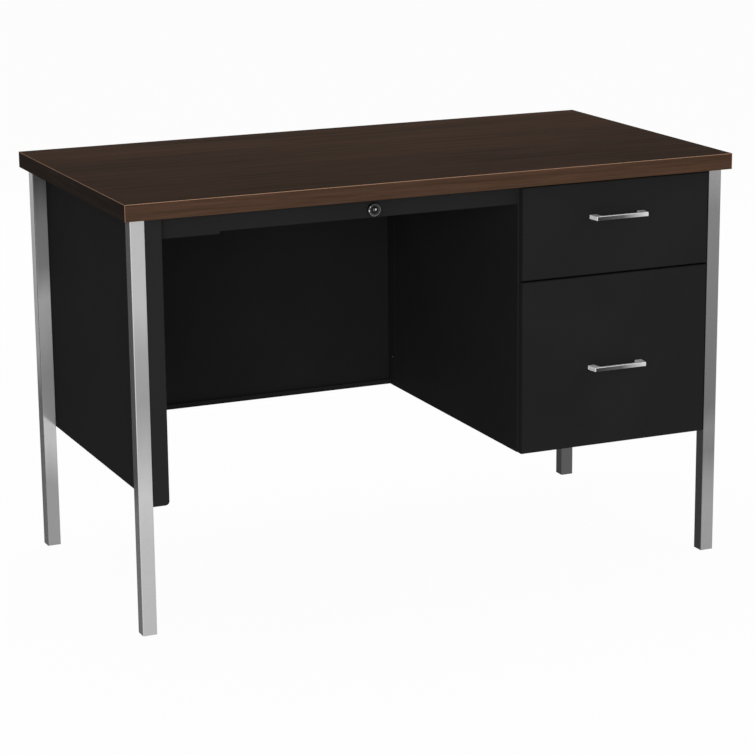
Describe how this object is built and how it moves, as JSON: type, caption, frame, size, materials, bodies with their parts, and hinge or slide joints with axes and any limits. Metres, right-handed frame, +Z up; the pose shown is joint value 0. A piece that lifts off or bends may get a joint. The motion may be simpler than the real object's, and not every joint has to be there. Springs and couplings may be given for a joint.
{
  "type": "teacher desk",
  "caption": "Single-pedestal teacher desk: wood-grain laminate top on square chrome legs, black steel end and modesty panels, box and file drawers with bracket pulls, and a kneespace lock.",
  "frame": {"origin": "on the floor under the middle of the worktop", "axes": "+X to the sitter's right along the worktop, +Y from the sitter to the back of the desk, +Z up"},
  "size_m": [1.1494, 0.6178, 0.7493],
  "materials": {
    "top_laminate": "satin dark espresso wood-grain laminate",
    "edge_laminate_long": "satin brown wood-grain edge laminate",
    "edge_laminate_short": "satin dark wood-grain edge laminate",
    "particle_board": "raw particle board",
    "backer_sheet": "matte brown backing sheet",
    "leg_chrome": "bright satin chrome",
    "black_nylon": "moulded black",
    "glide_steel": "zinc plated",
    "black_panel": "satin black powder coat",
    "black_rail": "satin black powder coat",
    "black_front": "satin black powder coat",
    "black_inside": "satin black powder coat",
    "bare_steel": "thin black primer",
    "slide_zinc": "bright zinc plated",
    "lock_zinc": "zinc plated",
    "screw_zinc": "zinc plated",
    "pull_chrome": "bright chrome",
    "lock_chrome": "bright chrome",
    "bumper_rubber": "soft black"
  },
  "bodies": {
    "desk": {"box_cabinet_slides": "slide_zinc", "edge_bands_long": "edge_laminate_long", "edge_bands_short": "edge_laminate_short", "end_panel_inner": "black_panel", "end_panel_outer": "black_panel", "end_panel_stiffeners": "bare_steel", "file_cabinet_slides": "slide_zinc", "frame_screws": "screw_zinc", "kneespace_rail": "black_rail", "leg_front_left": "leg_chrome", "leg_front_right": "leg_chrome", "leg_inserts": "black_nylon", "leg_rear_left": "leg_chrome", "leg_rear_right": "leg_chrome", "lock_dust_ring": "black_nylon", "lock_guides": "lock_zinc", "lock_housing": "lock_chrome", "lock_nut": "lock_zinc", "modesty_panel": "black_panel", "pedestal_back": "black_panel", "pedestal_bottom": "black_panel", "pedestal_mid_rail": "black_panel", "pedestal_post_left": "black_panel", "pedestal_post_right": "black_panel", "pedestal_side_left": "black_panel", "pedestal_side_right": "black_panel", "pedestal_top_rail": "black_panel", "pedestal_uprights": "bare_steel", "rail_gusset": "black_rail", "worktop_backer": "backer_sheet", "worktop_core": "particle_board", "worktop_laminate": "top_laminate", "worktop_screws": "screw_zinc"},
    "box_drawer": {"box_bumpers": "bumper_rubber", "box_drawer_front": "black_front", "box_drawer_liner": "black_inside", "box_drawer_slides": "slide_zinc", "box_drawer_tray": "black_inside", "box_lock_hook": "lock_zinc", "box_pull": "pull_chrome", "box_pull_screws": "screw_zinc"},
    "file_drawer": {"file_bumpers": "bumper_rubber", "file_drawer_front": "black_front", "file_drawer_liner": "black_inside", "file_drawer_slides": "slide_zinc", "file_drawer_tray": "black_inside", "file_hanging_rails": "black_inside", "file_lock_hook": "lock_zinc", "file_pull": "pull_chrome", "file_pull_screws": "screw_zinc"},
    "box_slide_middle": {"box_middle_slides": "slide_zinc"},
    "file_slide_middle": {"file_middle_slides": "slide_zinc"},
    "lock_plug_body": {"lock_plug": "lock_chrome", "lock_cam": "lock_zinc"},
    "lock_link_body": {"lock_link_bar": "lock_zinc"},
    "lock_catch_body": {"lock_catch_bar": "lock_zinc"},
    "glide_front_left_body": {"glide_front_left": "glide_steel"},
    "glide_front_right_body": {"glide_front_right": "glide_steel"},
    "glide_rear_left_body": {"glide_rear_left": "glide_steel"},
    "glide_rear_right_body": {"glide_rear_right": "glide_steel"}
  },
  "joints": [
    {"name": "box_drawer_slide", "type": "slide", "parent": "desk", "child": "box_drawer", "axis": [0, -1, 0], "range_m": [0, 0.45]},
    {"name": "box_middle_slide", "type": "slide", "parent": "desk", "child": "box_slide_middle", "axis": [0, -1, 0], "range_m": [0, 0.225]},
    {"name": "file_drawer_slide", "type": "slide", "parent": "desk", "child": "file_drawer", "axis": [0, -1, 0], "range_m": [0, 0.5]},
    {"name": "file_middle_slide", "type": "slide", "parent": "desk", "child": "file_slide_middle", "axis": [0, -1, 0], "range_m": [0, 0.25]},
    {"name": "lock_turn", "type": "hinge", "parent": "desk", "child": "lock_plug_body", "pos_m": [-0.118, -0.2778, 0.699], "axis": [0, 1, 0], "range_deg": [0, 90]},
    {"name": "lock_link_slide", "type": "slide", "parent": "desk", "child": "lock_link_body", "axis": [1, 0, 0], "range_m": [0, 0.00849]},
    {"name": "lock_catch_lift", "type": "slide", "parent": "desk", "child": "lock_catch_body", "axis": [0, 0, 1], "range_m": [0, 0.006]},
    {"name": "glide_front_left_screw", "type": "slide", "parent": "desk", "child": "glide_front_left_body", "axis": [0, 0, -1], "range_m": [0, 0.01]},
    {"name": "glide_front_right_screw", "type": "slide", "parent": "desk", "child": "glide_front_right_body", "axis": [0, 0, -1], "range_m": [0, 0.01]},
    {"name": "glide_rear_left_screw", "type": "slide", "parent": "desk", "child": "glide_rear_left_body", "axis": [0, 0, -1], "range_m": [0, 0.01]},
    {"name": "glide_rear_right_screw", "type": "slide", "parent": "desk", "child": "glide_rear_right_body", "axis": [0, 0, -1], "range_m": [0, 0.01]}
  ],
  "couplings": [
    {"joint": "box_middle_slide", "follows": "box_drawer_slide", "ratio": 0.5},
    {"joint": "file_middle_slide", "follows": "file_drawer_slide", "ratio": 0.5},
    {"joint": "lock_turn", "follows": "lock_link_slide", "rad_per_m": 185.12},
    {"joint": "lock_catch_lift", "follows": "lock_link_slide", "ratio": 0.7071}
  ]
}
